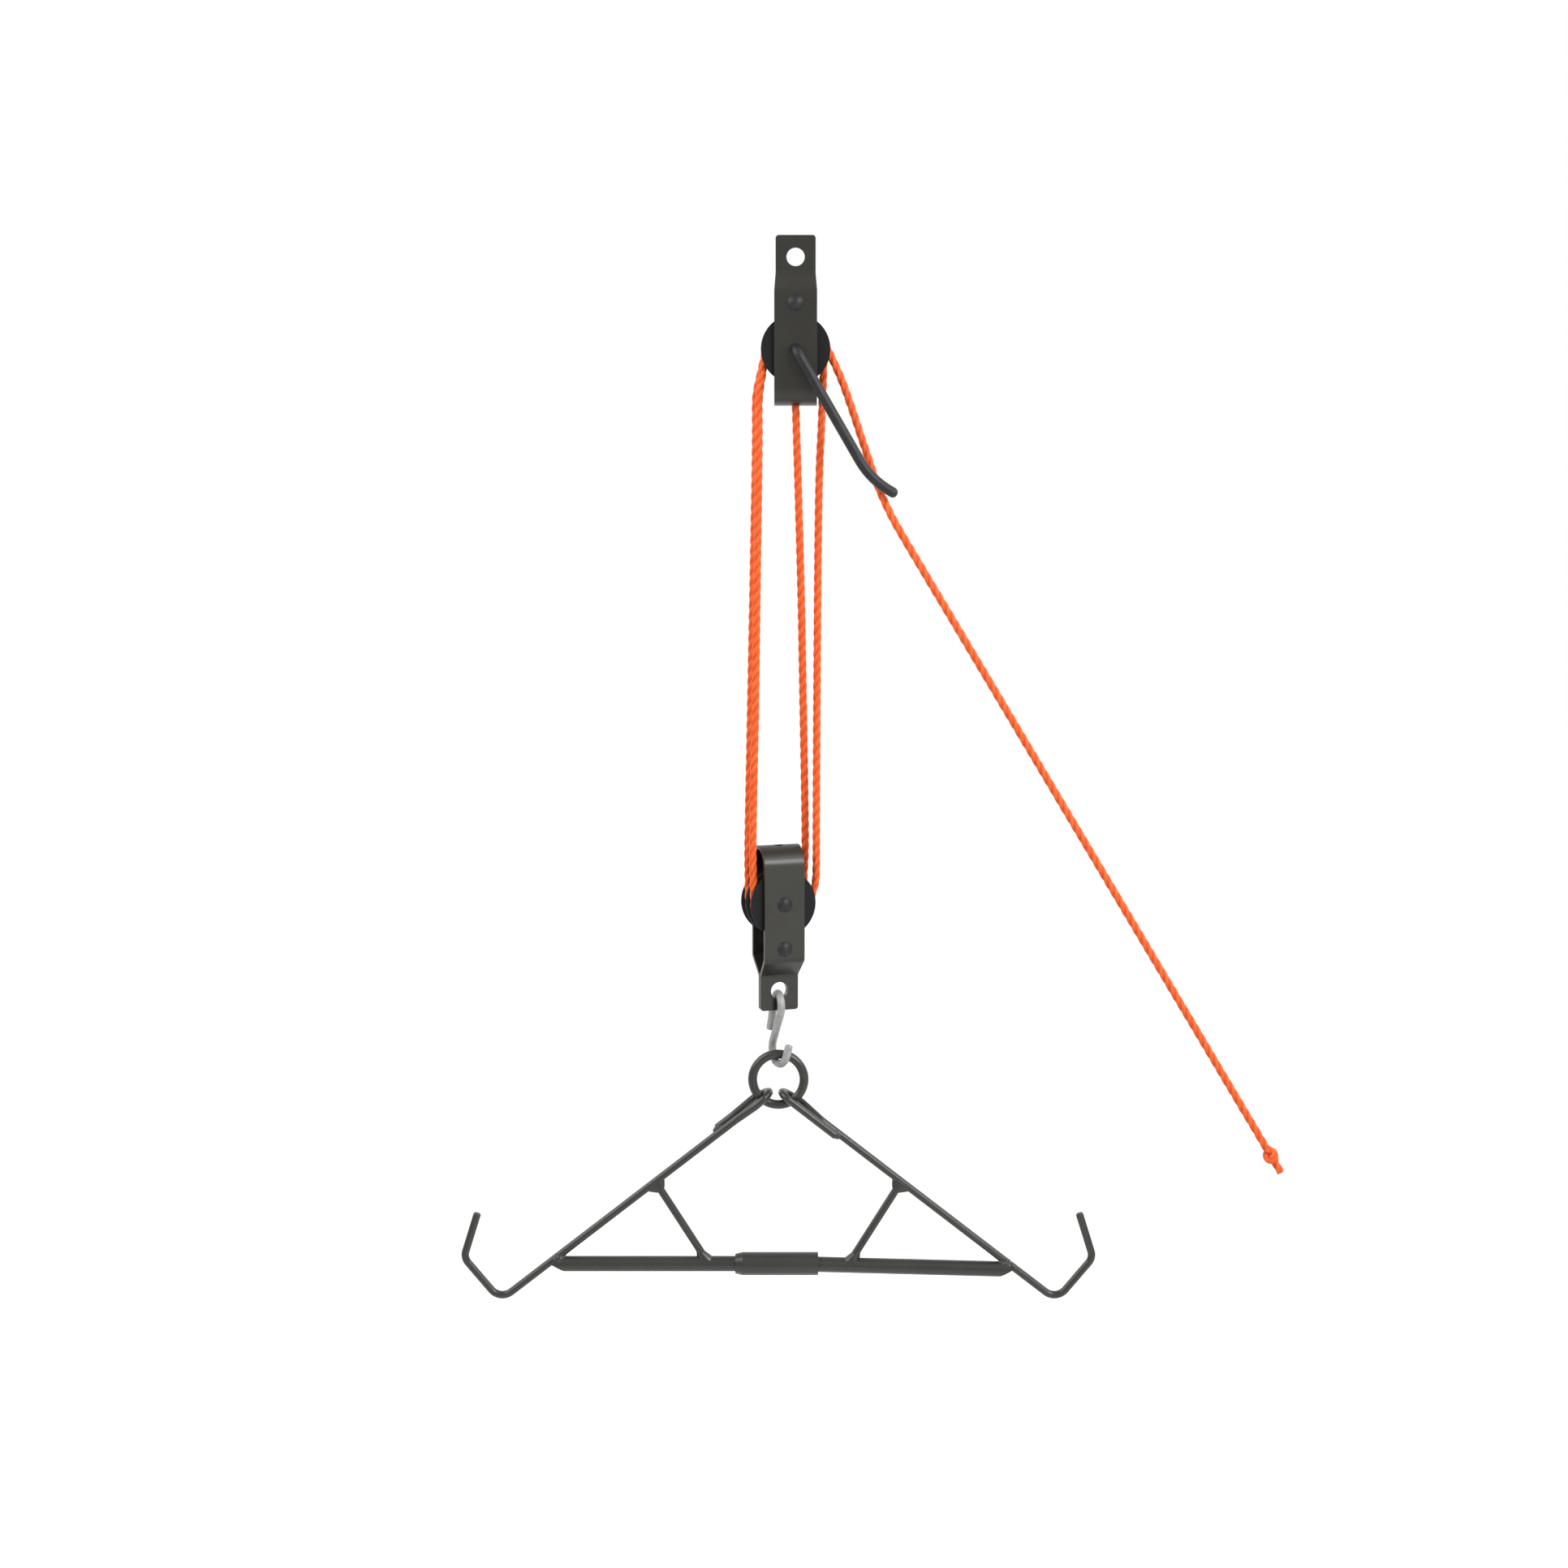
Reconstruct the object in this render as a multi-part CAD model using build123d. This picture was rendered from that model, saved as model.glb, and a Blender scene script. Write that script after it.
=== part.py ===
from build123d import *
import math
import os

# Game hoist: two double-sheave blocks reeved four to one, an S-hook, a ring and a plug-together gambrel.
# Frame: origin in the upper block's hanging hole, +Z up, +X to the right, the front faces -Y. Millimetres.

# Folded strap of both blocks, measured from its axle towards the tongue
STRAP_WIDTH = 33.5
STRAP_THICK = 3.0
CHEEK_GAP = 28.0
BEND_END = 44.5
LOWER_BEND_END = 46.2
RIVET_AT = 36.0
JOGGLE_AT = 45.5
HOLE_AT = 71.5
LOWER_HOLE_AT = 72.6
TONGUE_END = 88.5
TONGUE_WIDTH = 31.4
TONGUE_GAP = 0.2
JOGGLE_RADIUS = 4.5
HANG_HOLE_DIA = 14.3
BECKET_HOLE_DIA = 7.4
TONGUE_CORNER = 2.5

# Sheaves, axles and rivets
SHEAVE_DIA = 54.5
SHEAVE_WIDTH = 12.2
SHEAVE_OFFSET = 7.1
HUB_DIA = 20.0
HUB_WIDTH = 12.8
AXLE_DIA = 8.2
BORE_CLEARANCE = 0.3
RIVET_DIA = 6.3
RIVET_HEAD_DIA = 12.6
RIVET_HEAD_HEIGHT = 3.0
SPACER_DIA = 10.5
WASHER_DIA = 22.0
WASHER_THICK = 1.2
SHANK_CLEARANCE = 0.2
HORN_DEPTH = -24.0
HORN_BEND = (59.0, 101.8)
HORN_TIP = (79.6, 113.4)
HORN_ROOT_RADIUS = 6.8
HORN_BEND_RADIUS = 66.0
HORN_END_ROUND = 3.772

# Rope. Each bow of a fall has its x and y, and how far down it is between the two axles as a share.
ROPE_DIA = 6.0
ROPE_SINK = 4.65
PITCH_RADIUS = SHEAVE_DIA / 2 - ROPE_SINK
GROOVE_CLEARANCE = 0.35
GROOVE_LIP = 1.0
JOIN_GAP = 0.25
FALL_BEND = 90.0
LEFT_FRONT_UPPER_BOW = (-28.9, -7.0, 0.092)
LEFT_FRONT_LOWER_BOW = (-34.2, -13.8, 0.913)
LEFT_REAR_UPPER_BOW = (-31.4, 7.1, 0.092)
LEFT_REAR_LOWER_BOW = (-38.1, -0.2, 0.913)
DEAD_END_UPPER_BOW = (4.2, 4.6, 0.391)
DEAD_END_LOWER_BOW = (8.4, 13.6, 0.904)
RIGHT_UPPER_BOW = (18.2, 6.2, 0.212)
RIGHT_LOWER_BOW = (16.6, 2.2, 0.936)
HAULING_BOW = (68.2, -15.0, -192.5)
HAULING_END = (373.3, -63.0, -699.5)
HAULING_BEND = 430.0
KNOT_LENGTH = 15.0
KNOT_DIA = 13.0
KNOT_START = 2.0
TAIL_STUB = 9.0
BECKET_KNOT = (14.0, 13.0, 10.4)
BECKET_KNOT_GAP = 0.3

# Where the pieces hang
AXLE_Z = -HOLE_AT
LOWER_X = -13.7
BLOCK_DROP = 440.7
LOWER_AXLE_Z = AXLE_Z - BLOCK_DROP
LOWER_YAW = 18.0

# S-hook: an upper bend in the tongue's hole and a lower bend under the ring
WIRE_DIA = 6.35
HOOK_UPPER_RADIUS = 9.0
HOOK_LOWER_RADIUS = 11.0
HOOK_UPPER_TURN = 15.0
HOOK_LOWER_TURN = 26.0
HOOK_REST_GAP = 0.95
HOOK_TOP_Z = LOWER_AXLE_Z - LOWER_HOLE_AT - HANG_HOLE_DIA / 2 + WIRE_DIA / 2 + HOOK_REST_GAP
HOOK_LENGTH = 57.375
HOOK_BACK_LEG = 31.4
HOOK_FRONT_LEG = 17.2
HOOK_BACK_LEAN = 4.4
HOOK_FRONT_LEAN = 4.0
HOOK_SPINE_TOP = 13.0
HOOK_SPINE_FOOT = 15.0
HOOK_SPINE_RADIUS = 12.0
HOOK_UPPER_BEND = 8.82
HOOK_LOWER_BEND = 10.78
HOOK_BOTTOM_Z = HOOK_TOP_Z - HOOK_LENGTH
END_ROUND = 1.6

# Ring
RING_WIRE_DIA = 7.4
RING_RADIUS = 20.85
RING_REST_GAP = 0.75
RING_Z = HOOK_BOTTOM_Z + (WIRE_DIA + RING_WIRE_DIA) / 2 + RING_REST_GAP - RING_RADIUS

# Gambrel, each half measured outwards from the middle of the ring
ARM_SLOPE = 38.0
EYE_ANGLE = 38.67
EYE_RADIUS = 8.6
EYE_GAP = 0.9
ARM_Y = -2.8
TAIL_GAP = 0.15
LEFT_TAIL_RISE = 3.4
RIGHT_TAIL_RISE = -1.8
LEFT_EYE_RISE = 1.0
RIGHT_EYE_RISE = -1.9
RIGHT_EYE_SLACK = 3.3
EYE_BEND_RADIUS = 8.084
TAIL_LENGTH = 44.0
NECK_END = 27.0
NECK_START = 6.0
NECK_RADIUS = 14.0
TOE_RADIUS = 11.5
HEEL_RADIUS = 10.0
TUBE_DIA = 12.7
TUBE_WALL = 1.5
TUBE_DROP = 136.7
TUBE_OVERRUN = 4.0
HOLLOW_STOP = 30.0
PINCH_ANGLE = 58.0
RIGHT_TUBE_TILT = 1.5
SLEEVE_DIA = 19.05
SLEEVE_WALL = 1.65
SLEEVE_GRIP_GAP = 0.02
SLEEVE_LEFT = -35.2
SLEEVE_RIGHT = 32.4
SLEEVE_CONE = 8.0
LEFT_TUBE_END = 10.0
RIGHT_TUBE_END = 16.4

# Gambrel, measured outwards (or inwards) and upwards from where a level crossbar meets the arm
TOE_OUT = 39.2
HEEL_OUT = 68.6
HEEL_RISE = 5.1
TIP_OUT = 56.9
TIP_RISE = 42.6
STRUT_TOP_IN = 88.0
STRUT_FOOT_IN = 131.3
PINCH_IN = 14.3
JOINT_WELD_IN = 9.0
JOINT_WELD_RISE = 3.6
JOINT_WELD_RADIUS = 6.2
STRUT_WELD_REACH = 12.2
STRUT_WELD_DEPTH = 5.0
STRUT_WELD_LENGTH = 10.0
TAIL_WELD_RADIUS = 3.6
TAIL_WELD_SHARE = 0.65

os.makedirs("parts", exist_ok=True)


def save(name, shape):
    """Write one sub-part under its node's name."""
    shape.label = name
    export_step(shape, f"parts/{name}.step")


def bent_path(points, radii):
    """Join points by straight runs, with a tangent arc of the given radius at each inner point."""
    points = [Vector(*p) for p in points]
    edges = []
    start = points[0]
    for before, corner, after, radius in zip(points, points[1:], points[2:], radii):
        back = (before - corner).normalized()
        ahead = (after - corner).normalized()
        half = back.get_angle(ahead) / 2
        reach = radius / math.tan(math.radians(half))
        centre = corner + (back + ahead).normalized() * (radius / math.sin(math.radians(half)))
        first = corner + back * reach
        last = corner + ahead * reach
        middle = centre + (corner - centre).normalized() * radius
        edges.append(Edge.make_line(start, first))
        edges.append(Edge.make_three_point_arc(first, middle, last))
        start = last
    edges.append(Edge.make_line(start, points[-1]))
    return Wire(edges)


def rod(path, diameter):
    """Sweep a round section along a path."""
    section = Plane(origin=path @ 0, z_dir=path % 0) * Circle(diameter / 2)
    return sweep(section, path=path)


def round_ends(solid, amount):
    """Round the two flat ends of a bent rod."""
    ends = solid.faces().filter_by(GeomType.PLANE).edges()
    return fillet(ends, amount)


def dome_head(diameter, height):
    """Domed rivet head standing on the XY plane."""
    sphere_radius = (diameter * diameter / 4 + height * height) / (2 * height)
    ball = Pos(0, 0, height - sphere_radius) * Sphere(sphere_radius)
    return ball & Pos(0, 0, height / 2) * Box(diameter * 1.2, diameter * 1.2, height)


def along_y(shape, x, y, z):
    """Lay a shape made along +Z on its side, so that it points to -Y, at the given place."""
    return Pos(x, y, z) * Rot(90, 0, 0) * shape


# Strap: a flat strip swept along its folded centre line, then pierced and rounded at the tongue.
def make_strap(bend_end, hole_at):
    cheek = CHEEK_GAP / 2 + STRAP_THICK / 2
    layer = TONGUE_GAP / 2 + STRAP_THICK / 2
    joggle_end = JOGGLE_AT + cheek - layer
    bend_z = -bend_end + cheek + STRAP_THICK / 2
    front = bent_path(
        [(0, -layer, TONGUE_END), (0, -layer, joggle_end), (0, -cheek, JOGGLE_AT), (0, -cheek, bend_z)],
        [JOGGLE_RADIUS, JOGGLE_RADIUS],
    )
    bend = Edge.make_three_point_arc((0, -cheek, bend_z), (0, 0, bend_z - cheek), (0, cheek, bend_z))
    rear = bent_path(
        [(0, cheek, bend_z), (0, cheek, JOGGLE_AT), (0, layer, joggle_end), (0, layer, TONGUE_END)],
        [JOGGLE_RADIUS, JOGGLE_RADIUS],
    )
    path = Wire(front.edges() + [bend] + rear.edges())
    section = Plane(origin=(0, -layer, TONGUE_END), x_dir=(1, 0, 0), z_dir=(0, 0, -1))
    strip = sweep(section * Rectangle(STRAP_WIDTH, STRAP_THICK), path=path)
    for side in (-1, 1):
        outline = [
            (side * STRAP_WIDTH / 2, JOGGLE_AT),
            (side * TONGUE_WIDTH / 2, joggle_end),
            (side * TONGUE_WIDTH / 2, 2 * TONGUE_END),
            (side * STRAP_WIDTH, 2 * TONGUE_END),
            (side * STRAP_WIDTH, JOGGLE_AT),
        ]
        waste = make_face(Polyline(*outline, close=True))
        strip -= extrude(Plane.XZ * waste, amount=4 * CHEEK_GAP, both=True)
    corners = strip.edges().filter_by(Axis.Y).group_by(Axis.Z)[-1]
    strip = fillet(corners, TONGUE_CORNER)
    strip -= along_y(Cylinder(HANG_HOLE_DIA / 2, 4 * CHEEK_GAP), 0, 0, hole_at)
    strip -= along_y(Cylinder((AXLE_DIA + SHANK_CLEARANCE) / 2, 4 * CHEEK_GAP), 0, 0, 0)
    strip -= along_y(Cylinder((RIVET_DIA + SHANK_CLEARANCE) / 2, 4 * CHEEK_GAP), 0, 0, RIVET_AT)
    strip -= Pos(0, 0, -bend_end) * Cylinder(BECKET_HOLE_DIA / 2, 6 * STRAP_THICK)
    return strip


# Sheave: turned profile with a deep round-bottomed groove, flared lips, flat sides and a bored hub.
def make_sheave():
    rim = SHEAVE_DIA / 2
    half = SHEAVE_WIDTH / 2
    hub = HUB_WIDTH / 2
    groove = ROPE_DIA / 2 + GROOVE_CLEARANCE
    bore = AXLE_DIA / 2 + BORE_CLEARANCE
    lip = half - GROOVE_LIP
    with BuildSketch(Plane.XZ) as profile:
        with BuildLine():
            Polyline(
                (PITCH_RADIUS, groove), (rim, lip), (rim, half), (HUB_DIA / 2, half), (HUB_DIA / 2, hub),
                (bore, hub), (bore, -hub), (HUB_DIA / 2, -hub), (HUB_DIA / 2, -half),
                (rim, -half), (rim, -lip), (PITCH_RADIUS, -groove),
            )
            ThreePointArc((PITCH_RADIUS, -groove), (PITCH_RADIUS - groove, 0), (PITCH_RADIUS, groove))
        make_face()
    return revolve(profile.sketch, Axis.Z)


# Rivet: a shank through both cheeks with a domed head on each outer face.
def make_rivet(diameter, head_dia):
    outer = CHEEK_GAP / 2 + STRAP_THICK
    head = dome_head(head_dia, RIVET_HEAD_HEIGHT)
    shank = Cylinder(diameter / 2, 2 * outer)
    return shank + Pos(0, 0, outer) * head + Pos(0, 0, -outer) * Rot(180, 0, 0) * head


def make_spacer():
    return Cylinder(SPACER_DIA / 2, CHEEK_GAP) - Cylinder(RIVET_DIA / 2 + SHANK_CLEARANCE, CHEEK_GAP)


def make_washer():
    return Cylinder(WASHER_DIA / 2, WASHER_THICK) - Cylinder(AXLE_DIA / 2 + SHANK_CLEARANCE, WASHER_THICK)


upper_place = Pos(0, 0, AXLE_Z)
lower_place = Pos(LOWER_X, 0, LOWER_AXLE_Z) * Rot(0, 0, LOWER_YAW) * Rot(0, 180, 0)
upper_strap = make_strap(BEND_END, HOLE_AT)
lower_strap = make_strap(LOWER_BEND_END, LOWER_HOLE_AT)
sheave = make_sheave()
spacer_rivet = make_rivet(RIVET_DIA, RIVET_HEAD_DIA)
spacer = make_spacer()
washer = make_washer()
for block, place, strap in (("upper", upper_place, upper_strap), ("lower", lower_place, lower_strap)):
    save(f"{block}_strap", place * strap)
    save(f"{block}_spacer_rivet", place * along_y(spacer_rivet, 0, 0, RIVET_AT))
    save(f"{block}_spacer_tube", place * along_y(spacer, 0, 0, RIVET_AT))
    save(f"{block}_divider_washer", place * along_y(washer, 0, 0, 0))
    save(f"{block}_front_sheave", place * along_y(sheave, 0, -SHEAVE_OFFSET, 0))
    save(f"{block}_rear_sheave", place * along_y(sheave, 0, SHEAVE_OFFSET, 0))
save("lower_axle_rivet", lower_place * along_y(make_rivet(AXLE_DIA, RIVET_HEAD_DIA), 0, 0, 0))

# Upper axle: headed at the rear, its front end bent down and out into the rope horn.
outer_face = CHEEK_GAP / 2 + STRAP_THICK
horn_path = bent_path(
    [
        (0, outer_face, AXLE_Z),
        (0, HORN_DEPTH, AXLE_Z),
        (HORN_BEND[0], HORN_DEPTH, AXLE_Z - HORN_BEND[1]),
        (HORN_TIP[0], HORN_DEPTH, AXLE_Z - HORN_TIP[1]),
    ],
    [HORN_ROOT_RADIUS, HORN_BEND_RADIUS],
)
horn = rod(horn_path, AXLE_DIA)
horn = fillet(horn.faces().filter_by(GeomType.PLANE).sort_by(Axis.Z)[0].edges(), HORN_END_ROUND)
horn += Pos(0, outer_face, AXLE_Z) * Rot(-90, 0, 0) * dome_head(RIVET_HEAD_DIA, RIVET_HEAD_HEIGHT)
save("upper_axle_horn", horn)

# S-hook: the upper bend goes through the tongue from the rear, the spine crosses to the rear, and the
# lower bend comes up in front of the ring. Each bend has its own turn about the vertical.
upper_turn = math.radians(HOOK_UPPER_TURN)
lower_turn = math.radians(HOOK_LOWER_TURN)


def hook_point(radius, turn, side, z, lean=0.0):
    """Point on the front (+1) or rear (-1) leg of a bend; a lean moves it sideways, away from the middle."""
    return (LOWER_X + side * (radius * math.sin(turn) + lean), -side * radius * math.cos(turn), z)


hook_path = bent_path(
    [
        hook_point(HOOK_UPPER_RADIUS, upper_turn, -1, HOOK_TOP_Z - HOOK_BACK_LEG, HOOK_BACK_LEAN),
        hook_point(HOOK_UPPER_RADIUS, upper_turn, -1, HOOK_TOP_Z),
        hook_point(HOOK_UPPER_RADIUS, upper_turn, 1, HOOK_TOP_Z),
        hook_point(HOOK_UPPER_RADIUS, upper_turn, 1, HOOK_TOP_Z - HOOK_SPINE_TOP),
        hook_point(HOOK_LOWER_RADIUS, lower_turn, -1, HOOK_BOTTOM_Z + HOOK_SPINE_FOOT),
        hook_point(HOOK_LOWER_RADIUS, lower_turn, -1, HOOK_BOTTOM_Z),
        hook_point(HOOK_LOWER_RADIUS, lower_turn, 1, HOOK_BOTTOM_Z),
        hook_point(HOOK_LOWER_RADIUS, lower_turn, 1, HOOK_BOTTOM_Z + HOOK_FRONT_LEG, HOOK_FRONT_LEAN),
    ],
    [
        HOOK_UPPER_BEND,
        HOOK_UPPER_BEND,
        HOOK_SPINE_RADIUS,
        HOOK_SPINE_RADIUS,
        HOOK_LOWER_BEND,
        HOOK_LOWER_BEND,
    ],
)
save("s_hook", round_ends(rod(hook_path, WIRE_DIA), END_ROUND))

# Ring: one welded turn of round wire.
save("ring", Pos(LOWER_X, 0, RING_Z) * Rot(90, 0, 0) * Torus(RING_RADIUS, RING_WIRE_DIA / 2))

# Gambrel halves, built in a half frame: u outwards from the middle, y to the rear, z up.
slope = math.radians(ARM_SLOPE)
eye_turn = math.radians(EYE_ANGLE)
WIRE_U = RING_RADIUS * math.sin(eye_turn)
WIRE_Z = RING_Z - RING_RADIUS * math.cos(eye_turn)
EYE_SHIFT = EYE_RADIUS - (WIRE_DIA + RING_WIRE_DIA) / 2 - EYE_GAP
TUBE_Z = WIRE_Z - TUBE_DROP
JOINT_U = WIRE_U + TUBE_DROP / math.tan(slope)
STRUT_TOP = JOINT_U - STRUT_TOP_IN
STRUT_FOOT = JOINT_U - STRUT_FOOT_IN


def arm_point(along, y, rise=0.0):
    """Point measured along the arm from the eye's middle, with a rise square to the arm."""
    u = WIRE_U + (along + EYE_SHIFT) * math.cos(slope) + rise * math.sin(slope)
    z = WIRE_Z - (along + EYE_SHIFT) * math.sin(slope) + rise * math.cos(slope)
    return (u, y, z)


def arm_z(u):
    return WIRE_Z - (u - WIRE_U) * math.tan(slope)


def bar_z(u, tilt):
    """Height of the crossbar's centre line; a tilted bar drops away from the left tube's end."""
    return TUBE_Z - (u - LEFT_TUBE_END) * math.tan(math.radians(tilt))


def bar_joint(tilt):
    """Distance out at which the crossbar's centre line meets the arm's."""
    fall = math.tan(slope)
    droop = math.tan(math.radians(tilt))
    return (TUBE_DROP + WIRE_U * fall - LEFT_TUBE_END * droop) / (fall - droop)


def tail_y(tail_rise):
    """Where a tail lies beside its arm: behind it if it rises above the arm, and in front if it is below."""
    beside = math.sqrt((WIRE_DIA + TAIL_GAP) ** 2 - tail_rise**2)
    return ARM_Y + math.copysign(beside, tail_rise)


def make_arm(tail_rise, eye_rise, slack):
    """Rod with an eye round the ring, a tail laid back beside it and a hook at the outer end.

    The eye's end rises above the arm's line or hangs below it. The slack makes the eye longer than it needs.
    """
    eye = math.copysign(EYE_RADIUS, tail_rise)
    eye_end = -EYE_RADIUS - slack
    toe = JOINT_U + TOE_OUT
    path = bent_path(
        [
            arm_point(TAIL_LENGTH, tail_y(tail_rise), tail_rise),
            arm_point(NECK_END, tail_y(tail_rise), tail_rise),
            arm_point(NECK_START, eye, tail_rise),
            arm_point(eye_end, eye, eye_rise),
            arm_point(eye_end, -eye, eye_rise),
            arm_point(NECK_START, -eye),
            arm_point(NECK_END, ARM_Y),
            (toe, ARM_Y, arm_z(toe)),
            (JOINT_U + HEEL_OUT, ARM_Y, TUBE_Z + HEEL_RISE),
            (JOINT_U + TIP_OUT, ARM_Y, TUBE_Z + TIP_RISE),
        ],
        [
            NECK_RADIUS,
            NECK_RADIUS,
            EYE_BEND_RADIUS,
            EYE_BEND_RADIUS,
            NECK_RADIUS,
            NECK_RADIUS,
            TOE_RADIUS,
            HEEL_RADIUS,
        ],
    )
    return round_ends(rod(path, WIRE_DIA), END_ROUND)


def solid_bar(inner_end, tilt, length):
    """Crossbar without its bore, laid from its inner end outwards."""
    place = Pos(inner_end, ARM_Y, bar_z(inner_end, tilt)) * Rot(0, 90 + tilt, 0)
    return place * Pos(0, 0, length / 2) * Cylinder(TUBE_DIA / 2, length)


def make_tube(inner_end, tilt, arm):
    """Crossbar tube from its inner end to the arm, saddled on the arm and pinched underneath."""
    joint = bar_joint(tilt)
    bore = joint - HOLLOW_STOP - inner_end
    place = Pos(inner_end, ARM_Y, bar_z(inner_end, tilt)) * Rot(0, 90 + tilt, 0)
    bar = solid_bar(inner_end, tilt, joint + TUBE_OVERRUN - inner_end)
    bar -= place * Pos(0, 0, bore / 2) * Cylinder(TUBE_DIA / 2 - TUBE_WALL, bore)
    outside = Plane(origin=arm_point(0, ARM_Y), x_dir=(0, 1, 0), z_dir=(math.sin(slope), 0, math.cos(slope)))
    bar = split(bar, bisect_by=outside, keep=Keep.BOTTOM)
    pinch_at = (joint - PINCH_IN, ARM_Y, bar_z(joint - PINCH_IN, tilt) - TUBE_DIA / 2)
    pinch_turn = math.radians(PINCH_ANGLE)
    pinch = Plane(origin=pinch_at, x_dir=(0, 1, 0), z_dir=(math.cos(pinch_turn), 0, -math.sin(pinch_turn)))
    bar = split(bar, bisect_by=pinch, keep=Keep.BOTTOM)
    return bar - arm


def make_strut(inner_end, tilt, arm):
    """Straight rod from the arm down to the crossbar, saddled at both ends."""
    foot = (STRUT_FOOT, ARM_Y, bar_z(STRUT_FOOT, tilt))
    path = Wire([Edge.make_line((STRUT_TOP, ARM_Y, arm_z(STRUT_TOP)), foot)])
    pieces = (rod(path, WIRE_DIA) - arm - solid_bar(inner_end, tilt, JOINT_U - inner_end)).solids()
    return pieces.sort_by(SortBy.VOLUME)[-1]


def make_welds(inner_end, tilt, tail_rise, arm, strut):
    """Fillet beads at the strut's two ends, at the crossbar's end and along the tail."""
    foot_z = bar_z(STRUT_FOOT, tilt)
    joint = bar_joint(tilt)
    run = Vector(STRUT_TOP - STRUT_FOOT, 0, arm_z(STRUT_TOP) - foot_z).normalized()
    across = Vector(run.Z, 0, -run.X)
    top = Plane(origin=(STRUT_TOP, ARM_Y, arm_z(STRUT_TOP)), x_dir=across, z_dir=-run)
    foot = Plane(origin=(STRUT_FOOT, ARM_Y, foot_z), x_dir=across, z_dir=run)
    bead_root = Ellipse(STRUT_WELD_REACH, STRUT_WELD_DEPTH)
    bead = loft([bead_root, Pos(0, 0, STRUT_WELD_LENGTH) * Circle(WIRE_DIA / 2)])
    bar = solid_bar(inner_end, tilt, joint + TUBE_OVERRUN - inner_end)
    top_bead = top * bead - arm - strut
    foot_bead = foot * Pos(0, 0, TUBE_DIA / 4) * bead - bar - strut
    weld_u = joint - JOINT_WELD_IN
    joint_place = Pos(weld_u, ARM_Y, bar_z(weld_u, tilt) + JOINT_WELD_RISE)
    joint_bead = joint_place * Sphere(JOINT_WELD_RADIUS) - arm - bar
    seam_y = ARM_Y + TAIL_WELD_SHARE * (tail_y(tail_rise) - ARM_Y)
    tail_at = arm_point(TAIL_LENGTH - TAIL_WELD_RADIUS / 3, seam_y, TAIL_WELD_SHARE * tail_rise)
    tail_bead = Pos(*tail_at) * Sphere(TAIL_WELD_RADIUS) - arm
    beads = []
    for bead in (top_bead, foot_bead, joint_bead, tail_bead):
        beads.append(bead.solids().sort_by(SortBy.VOLUME)[-1])
    return Compound(beads)


right_place = Pos(LOWER_X, 0, 0)


def mirrored(shape):
    """Left half: the half frame seen in a mirror."""
    return right_place * mirror(shape, Plane.YZ)


for side, tail_rise, eye_rise, slack, inner_end, tilt in (
    ("left", LEFT_TAIL_RISE, LEFT_EYE_RISE, 0.0, -LEFT_TUBE_END, 0.0),
    ("right", RIGHT_TAIL_RISE, RIGHT_EYE_RISE, RIGHT_EYE_SLACK, RIGHT_TUBE_END, RIGHT_TUBE_TILT),
):
    arm = make_arm(tail_rise, eye_rise, slack)
    bar = make_tube(inner_end, tilt, arm)
    strut = make_strut(inner_end, tilt, arm)
    welds = make_welds(inner_end, tilt, tail_rise, arm, strut)
    for name, shape in (("arm", arm), ("crossbar_tube", bar), ("strut", strut), ("welds", welds)):
        save(f"{side}_{name}", mirrored(shape) if side == "left" else right_place * shape)

# Sleeve: open socket for the right tube, its left end swaged down on to the left tube.
with BuildSketch(Plane.XZ) as sleeve_profile:
    with BuildLine():
        grip = TUBE_DIA / 2 + SLEEVE_GRIP_GAP
        bore = SLEEVE_DIA / 2 - SLEEVE_WALL
        skin = SLEEVE_DIA / 2
        shoulder = SLEEVE_LEFT + SLEEVE_CONE
        Polyline(
            (SLEEVE_LEFT, grip), (SLEEVE_LEFT, grip + SLEEVE_WALL), (shoulder - SLEEVE_CONE / 4, skin),
            (SLEEVE_RIGHT, skin), (SLEEVE_RIGHT, bore), (shoulder, bore), (shoulder - SLEEVE_CONE / 2, grip),
            close=True,
        )
    make_face()
sleeve = revolve(sleeve_profile.sketch, Axis.X)
save("coupling_sleeve", Pos(LOWER_X, ARM_Y, TUBE_Z) * sleeve)

# Rope, reeved four to one: from the stopper knot in the upper bend, under the lower rear sheave, over the
# upper rear sheave, under the lower front sheave, over the upper front sheave, and out to the hauling end.
lower_yaw = math.radians(LOWER_YAW)
across_lower = Vector(math.cos(lower_yaw), math.sin(lower_yaw), 0)
lower_axis = Vector(-math.sin(lower_yaw), math.cos(lower_yaw), 0)
across_upper = Vector(1, 0, 0)
upper_axis = Vector(0, 1, 0)
upper_front = Vector(0, -SHEAVE_OFFSET, AXLE_Z)
upper_rear = Vector(0, SHEAVE_OFFSET, AXLE_Z)
lower_front = Vector(LOWER_X, 0, LOWER_AXLE_Z) - lower_axis * SHEAVE_OFFSET
lower_rear = Vector(LOWER_X, 0, LOWER_AXLE_Z) + lower_axis * SHEAVE_OFFSET


def tangent_angle(centre, across, towards, side):
    """Angle on a sheave where the rope that comes from a point touches it, on the left (-1) or right (+1)."""
    out = Vector(*towards) - centre
    flat_x = out.dot(across)
    flat_z = out.Z
    aim = math.atan2(flat_z, flat_x)
    spread = math.acos(PITCH_RADIUS / math.hypot(flat_x, flat_z))
    return max((aim - spread, aim + spread), key=lambda angle: side * math.cos(angle))


def on_sheave(centre, across, angle):
    return centre + across * (PITCH_RADIUS * math.cos(angle)) + Vector(0, 0, PITCH_RADIUS * math.sin(angle))


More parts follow.
